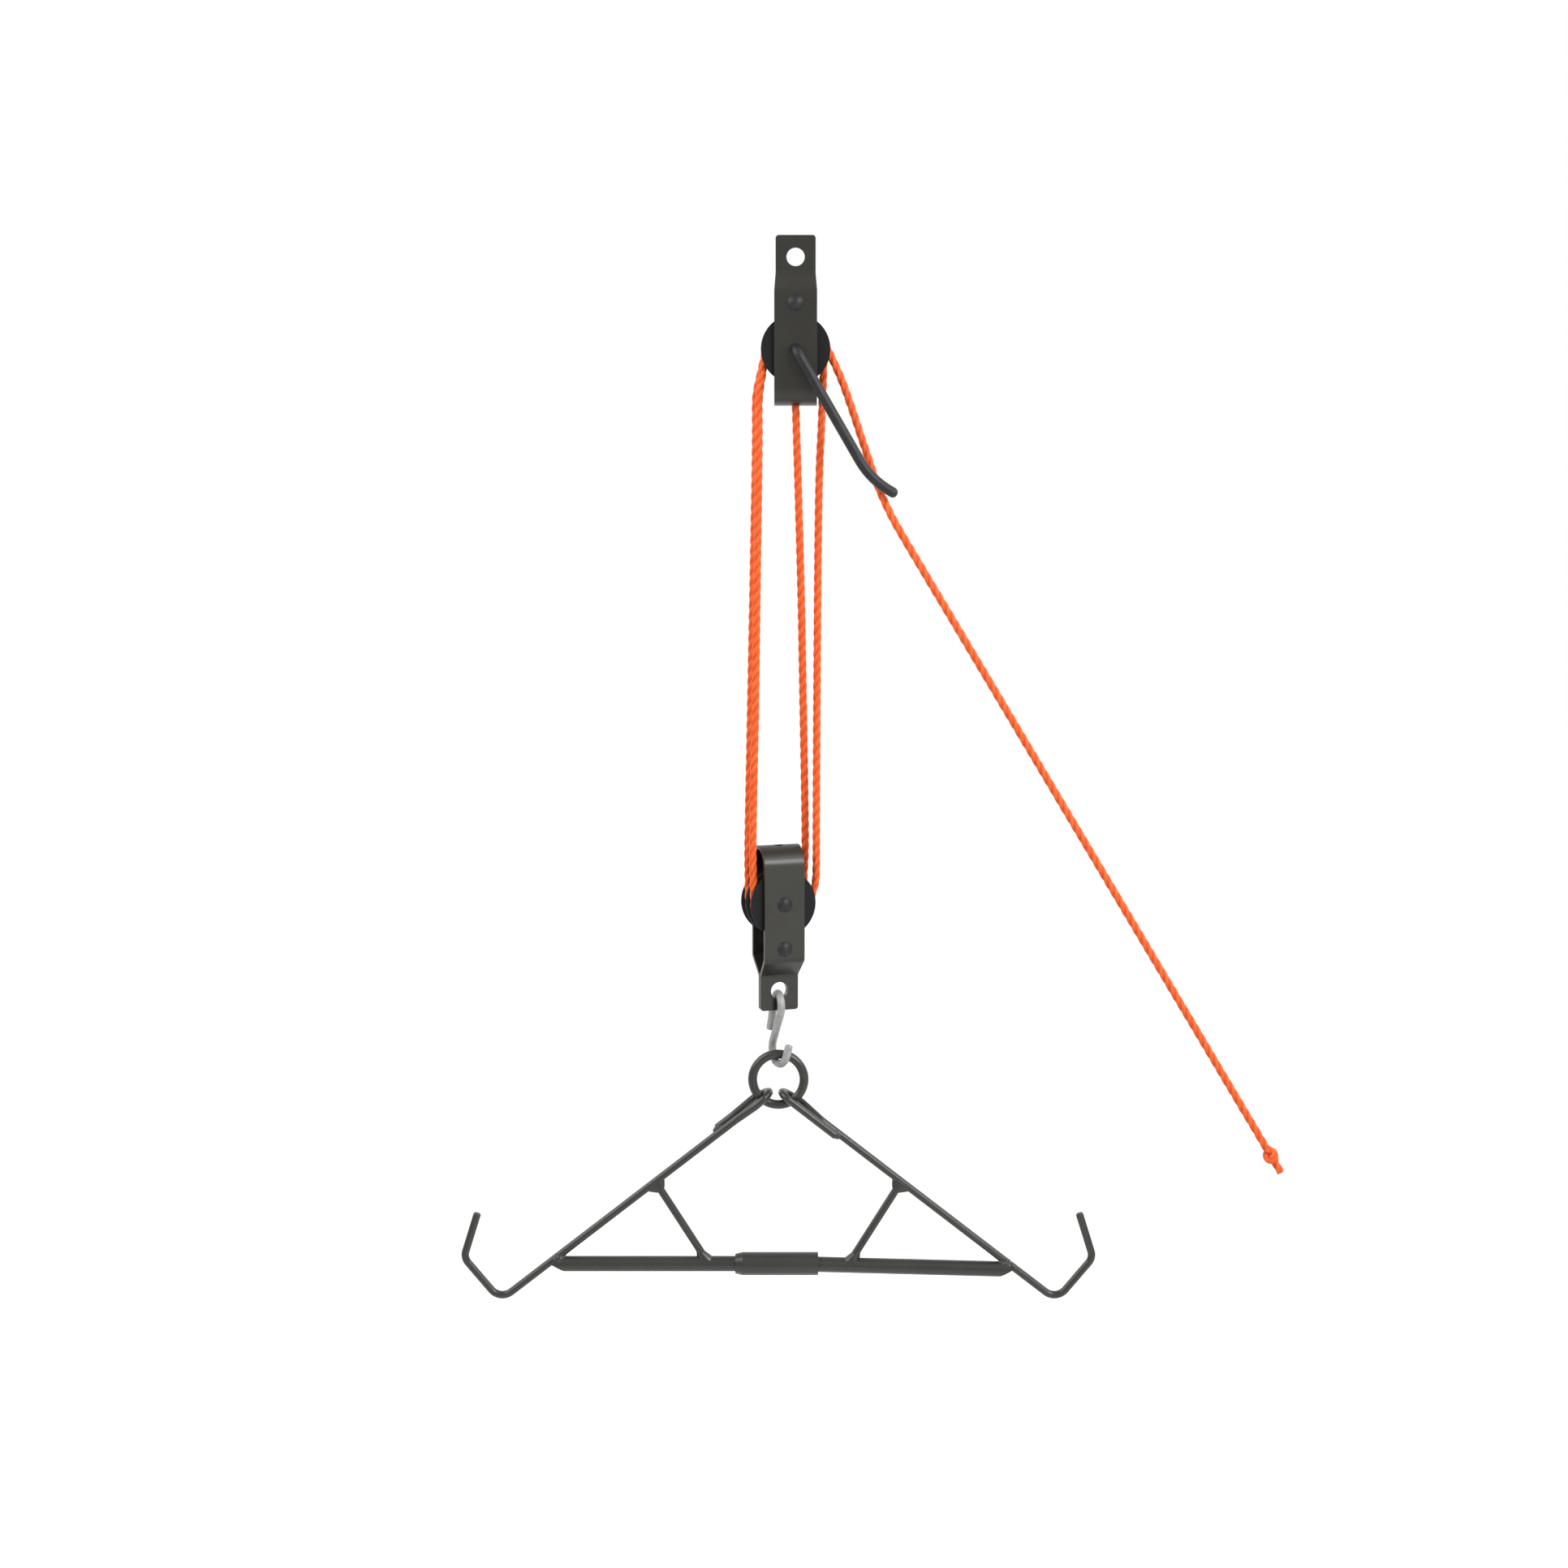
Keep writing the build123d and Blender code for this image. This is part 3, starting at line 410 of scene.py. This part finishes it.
def lay_strands(name, line, turns, side):
    """Lay three strands along a line. Turns and side carry the lay on from the piece before."""
    reach = [0.0]
    for before, after in zip(line, line[1:]):
        reach.append(reach[-1] + (after - before).length)
    heads = [(after - before).normalized() for before, after in zip(line, line[1:])]
    heads.append(heads[-1])
    sides = []
    for head in heads:
        side = (side - head * side.dot(head)).normalized()
        sides.append(side)
    # The rope is first laid up straight along Z, as a lobed section that climbs and turns.
    steps = max(2, round(reach[-1] / ROPE_STEP))
    stride = reach[-1] / steps
    rope = bmesh.new()
    section = bmesh.ops.create_circle(rope, cap_ends=True, segments=ROPE_SIDES, radius=ROPE_RADIUS)["verts"]
    for vert in section:
        strand = math.cos(ROPE_STRANDS / 2 * math.atan2(vert.co.y, vert.co.x)) ** 2
        lobe = ROPE_VALLEY + (ROPE_RADIUS - ROPE_VALLEY) * strand ** STRAND_ROUNDNESS
        vert.co *= lobe / ROPE_RADIUS
    bmesh.ops.rotate(rope, verts=section, cent=(0, 0, 0), matrix=Matrix.Rotation(math.tau * turns, 3, "Z"))
    bmesh.ops.spin(rope, geom=rope.faces[:] + rope.edges[:] + rope.verts[:], cent=(0, 0, 0), axis=(0, 0, 1),
                   angle=math.tau * reach[-1] / ROPE_LAY, steps=steps, dvec=(0, 0, stride), use_merge=False,
                   use_duplicate=False)
    bmesh.ops.recalc_face_normals(rope, faces=rope.faces)
    # The UV map runs round the rope and along its lay, so that the yarns follow the strands.
    lay = rope.loops.layers.uv.new("lay")
    crest = rope.verts.layers.float.new("crest")
    for face in rope.faces:
        face.smooth = len(face.verts) == 4
        middle = face.calc_center_median()
        home = math.atan2(middle.y, middle.x)
        for corner in face.loops:
            spot = corner.vert.co
            swing = math.atan2(spot.y, spot.x) - home
            swing = (swing + math.pi) % math.tau - math.pi
            along = turns + spot.z / ROPE_LAY
            corner[lay].uv = ((home + swing) / math.tau - along, along)
    # Then each point is carried from the straight rope to its place along the line.
    for vert in rope.verts:
        wide = vert.co.to_2d().length
        vert[crest] = (wide - ROPE_VALLEY) / (ROPE_RADIUS - ROPE_VALLEY)
        gone = min(max(vert.co.z, 0.0), reach[-1])
        i = min(bisect_right(reach, gone), len(reach) - 1) - 1
        share = (gone - reach[i]) / (reach[i + 1] - reach[i])
        near = line[i].lerp(line[i + 1], share)
        across = sides[i].lerp(sides[i + 1], share).normalized()
        head = heads[i].lerp(heads[i + 1], share).normalized()
        up = head.cross(across).normalized()
        across = up.cross(head)
        vert.co = near + across * vert.co.x + up * vert.co.y
    piece = make_object(name, rope, twisted_rope)
    return piece, turns + reach[-1] / ROPE_LAY, sides[-1]


# Stopper knot in the becket: an overhand knot drawn down on the inside of the upper strap's bend.
# The rope starts here, goes down through the punched hole and on round the four sheaves.
lay_turns = 0.0
lay_side = Vector((1, 0, 0))
becket_points = [
    (-0.0058, 0.0040, -0.1035),
    (-0.0015, 0.0046, -0.1050),
    (0.0036, 0.0028, -0.1072),
    (0.0036, -0.0020, -0.1095),
    (-0.0006, -0.0036, -0.1090),
    (-0.0040, -0.0010, -0.1066),
    (-0.0026, 0.0030, -0.1050),
    (0.0022, 0.0030, -0.1046),
    (0.0030, -0.0010, -0.1066),
    (0.0000, 0.0000, -0.1100),
    (0.0000, 0.0000, -0.1130),
]
becket_line = line_through(becket_points)
becket, lay_turns, lay_side = lay_strands("rope_becket_knot", becket_line, lay_turns, lay_side)
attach(becket, "upper_block")
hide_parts("becket_knot")

# Four falls between the blocks and the turns of rope in the grooves, followed in the order of the reeving.
# In the hoist the falls gather towards the upper block as the lower one is hauled up; here each fall hangs
# from the upper block on a mesh of its own, and the turns stay on their block.
# The lower block hangs turned a little about Z, so its axle and the middles of its grooves are turned too.
LOWER_TURN = math.radians(18)
UPPER_AXLE = Vector((0, 1, 0))
LOWER_AXLE = Vector((-math.sin(LOWER_TURN), math.cos(LOWER_TURN), 0))
UPPER_FRONT = (0, -0.0071, -0.0715)
UPPER_REAR = (0, 0.0071, -0.0715)
LOWER_FRONT = (-0.01151, -0.00675, -0.5122)
LOWER_REAR = (-0.01589, 0.00675, -0.5122)
# Degrees of rope that lie in each groove, from where one fall ends to where the next begins.
LOWER_REAR_WRAP = 175.52
UPPER_REAR_WRAP = 171.10
LOWER_FRONT_WRAP = 165.62
UPPER_FRONT_WRAP = 151.47
dead_end = [
    (0.0, 0.0, -0.1130),
    (0.0042, 0.0046, -0.2438),
    (0.0057, 0.0078, -0.3240),
    (0.0077, 0.0121, -0.4320),
    (0.0082, 0.0146, -0.4699),
    (0.0072, 0.0143, -0.4920),
    (0.00556, 0.01372, -0.51358),
]
left_rear = [
    (-0.03738, -0.00023, -0.51259),
    (-0.0378, -0.0002, -0.4940),
    (-0.0381, -0.0002, -0.4739),
    (-0.0374, 0.0006, -0.4360),
    (-0.0344, 0.0034, -0.2950),
    (-0.0313, 0.0065, -0.1420),
    (-0.0316, 0.0070, -0.1180),
    (-0.0312, 0.0071, -0.1060),
    (-0.0276, 0.0071, -0.0910),
    (-0.02214, 0.0071, -0.06695),
]
right_fall = [
    (0.02257, 0.0071, -0.07257),
    (0.0207, 0.0065, -0.1320),
    (0.0188, 0.0062, -0.1649),
    (0.0178, 0.0054, -0.2400),
    (0.0171, 0.0038, -0.3800),
    (0.0168, 0.0024, -0.4660),
    (0.0170, 0.0022, -0.4880),
    (0.0160, 0.0018, -0.5010),
    (0.00947, 0.00006, -0.51715),
]
left_front = [
    (-0.03299, -0.01373, -0.51288),
    (-0.0337, -0.0137, -0.4920),
    (-0.0342, -0.0138, -0.4739),
    (-0.0337, -0.0130, -0.4360),
    (-0.0319, -0.0117, -0.3600),
    (-0.0311, -0.0105, -0.2950),
    (-0.0287, -0.0076, -0.1420),
    (-0.0291, -0.0071, -0.1180),
    (-0.0287, -0.0070, -0.1060),
    (-0.0262, -0.0070, -0.0910),
    (-0.02235, -0.0071, -0.06816),
]
lower_rear_turn = line_round(dead_end[-1], LOWER_REAR, LOWER_AXLE, LOWER_REAR_WRAP)
upper_rear_turn = line_round(left_rear[-1], UPPER_REAR, UPPER_AXLE, UPPER_REAR_WRAP)
lower_front_turn = line_round(right_fall[-1], LOWER_FRONT, LOWER_AXLE, LOWER_FRONT_WRAP)
upper_front_turn = line_round(left_front[-1], UPPER_FRONT, UPPER_AXLE, UPPER_FRONT_WRAP)
reeving = [
    ("fall_dead_end", line_through(dead_end), "upper_block"),
    ("wrap_lower_rear", lower_rear_turn, "lower_block"),
    ("fall_left_rear", line_through(left_rear), "upper_block"),
    ("wrap_upper_rear", upper_rear_turn, "upper_block"),
    ("fall_right", line_through(right_fall), "upper_block"),
    ("wrap_lower_front", lower_front_turn, "lower_block"),
    ("fall_left_front", line_through(left_front), "upper_block"),
    ("wrap_upper_front", upper_front_turn, "upper_block"),
]
for name, line, body in reeving:
    stretch, lay_turns, lay_side = lay_strands("rope_" + name, line, lay_turns, lay_side)
    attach(stretch, body)
    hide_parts(name)
    if name.startswith("fall"):
        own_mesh(stretch)

# Hauling part: the same rope, led off the upper front sheave past the horn and held taut.
# It ends in an overhand knot that keeps it from running back through the blocks.
hauling_points = [
    (0.02123, -0.0071, -0.06375),
    (0.0318, -0.0088, -0.0850),
    (0.0396, -0.0100, -0.1040),
    (0.0532, -0.0124, -0.1450),
    (0.0692, -0.0150, -0.1920),
    (0.0965, -0.0192, -0.2380),
    (0.1310, -0.0245, -0.2950),
    (0.3733, -0.0630, -0.6995),
]
hauling_line = line_through(hauling_points)
hauling, lay_turns, lay_side = lay_strands("rope_hauling_part", hauling_line, lay_turns, lay_side)
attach(hauling, "upper_block")
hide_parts("hauling_rope")
# The knot's turns are given across the rope, up from it and along its pull, from the hauling part's end.
hauling_end = Vector(hauling_points[-1])
pull = (hauling_end - Vector(hauling_points[-2])).normalized()
knot_across = pull.cross(Vector((0, 1, 0))).normalized()
knot_up = pull.cross(knot_across)
knot_turns = [
    (0.0, 0.0, 0.0),
    (0.0, 0.0, 0.0020),
    (0.0032, 0.0006, 0.0050),
    (0.0026, 0.0034, 0.0092),
    (-0.0026, 0.0034, 0.0108),
    (-0.0038, -0.0012, 0.0074),
    (-0.0010, -0.0038, 0.0038),
    (0.0034, -0.0028, 0.0052),
    (0.0030, 0.0018, 0.0090),
    (0.0000, 0.0000, 0.0125),
    (0.0, 0.0, 0.0180),
    (0.0, 0.0, 0.0230),
]
knot_points = [hauling_end + knot_across * a + knot_up * b + pull * c for a, b, c in knot_turns]
end_knot, lay_turns, lay_side = lay_strands("rope_end_knot", line_through(knot_points), lay_turns, lay_side)
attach(end_knot, "upper_block")
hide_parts("hauling_end_knot")

# Studio: the hoist hangs well above a pale floor, in front of white, under broad soft lamps.
# The floor and the air are white to the eye and to reflections, and only softly bright as light.
WHITE = "#FFFFFF"
FLOOR_GREY = "#E8E8E8"
FLOOR_SIZE = 9.0
FLOOR_HEIGHT = -1.45


def seen_strength(tree, as_light, as_seen):
    """Give a strength that is one value to the eye and to reflections, and another as light on the hoist."""
    path = add(tree, "ShaderNodeLightPath")
    seen = add(tree, "ShaderNodeMath", {"operation": "MAXIMUM"},
               {0: path.outputs["Is Camera Ray"], 1: path.outputs["Is Glossy Ray"]})
    seen_through = add(tree, "ShaderNodeMath", {"operation": "MAXIMUM"},
                       {0: seen.outputs["Value"], 1: path.outputs["Is Transmission Ray"]})
    level = add(tree, "ShaderNodeMapRange", {"To Min": as_light, "To Max": as_seen},
                {"Value": seen_through.outputs["Value"]})
    return level.outputs["Result"]


world = bpy.data.worlds.new("white_studio")
scene.world = world
world.use_nodes = True
tree = world.node_tree
sky = tree.nodes["Background"]
sky.inputs["Color"].default_value = linear(WHITE)
tree.links.new(seen_strength(tree, as_light=0.2, as_seen=1.0), sky.inputs["Strength"])

floor_paint, tree, shader = new_finish("pale_floor")
shader.inputs["Base Color"].default_value = linear(FLOOR_GREY)
shader.inputs["Roughness"].default_value = 0.9
shader.inputs["Emission Color"].default_value = linear(WHITE)
tree.links.new(seen_strength(tree, as_light=0.0, as_seen=0.8), shader.inputs["Emission Strength"])
sweep = bmesh.new()
bmesh.ops.create_grid(sweep, x_segments=1, y_segments=1, size=FLOOR_SIZE,
                      matrix=Matrix.Translation((0, 0, FLOOR_HEIGHT)))
floor = make_object("floor", sweep, floor_paint)

# Lamps: large soft boxes turned to the middle of the hoist, brightest from the upper left and upper right.
# Each lamp: its name, its place, its width and height in metres, and its power in watts.
LAMP_AIM = Vector((0.0, 0.0, -0.45))
lamps = [
    ("left_top", (-1.5, -0.6, 0.65), 1.6, 1.6, 30.0),
    ("right_top", (1.45, -0.6, 0.8), 1.4, 1.4, 20.0),
    ("right_high", (1.23, -1.71, 0.68), 0.7, 0.8, 26.0),
    ("right_wall", (1.28, -1.78, -0.45), 0.9, 1.6, 6.0),
    ("left_back", (-1.9, 1.6, 0.2), 1.2, 1.6, 14.0),
    ("right_back", (1.9, 1.6, 0.2), 1.2, 1.6, 14.0),
]
for name, spot, width, height, power in lamps:
    lamp = bpy.data.lights.new(name, "AREA")
    lamp.shape = "RECTANGLE"
    lamp.size = width
    lamp.size_y = height
    lamp.energy = power
    holder = bpy.data.objects.new(name, lamp)
    holder.location = spot
    holder.rotation_euler = (LAMP_AIM - Vector(spot)).to_track_quat("-Z", "Y").to_euler()
    scene.collection.objects.link(holder)

# Camera: straight in front of the hoist and above its middle, looking down by a few degrees.
# The long lens keeps the gambrel's two halves nearly free of perspective.
CAMERA_PLACE = (-0.0091, -2.6, -0.0685)
CAMERA_LOOKS_DOWN = 7.632
lens = bpy.data.cameras.new("camera")
lens.sensor_width = 36.0
lens.lens = 75.2
camera = bpy.data.objects.new("camera", lens)
camera.location = CAMERA_PLACE
camera.rotation_euler = Euler((math.radians(90 - CAMERA_LOOKS_DOWN), 0, 0))
scene.collection.objects.link(camera)
scene.camera = camera
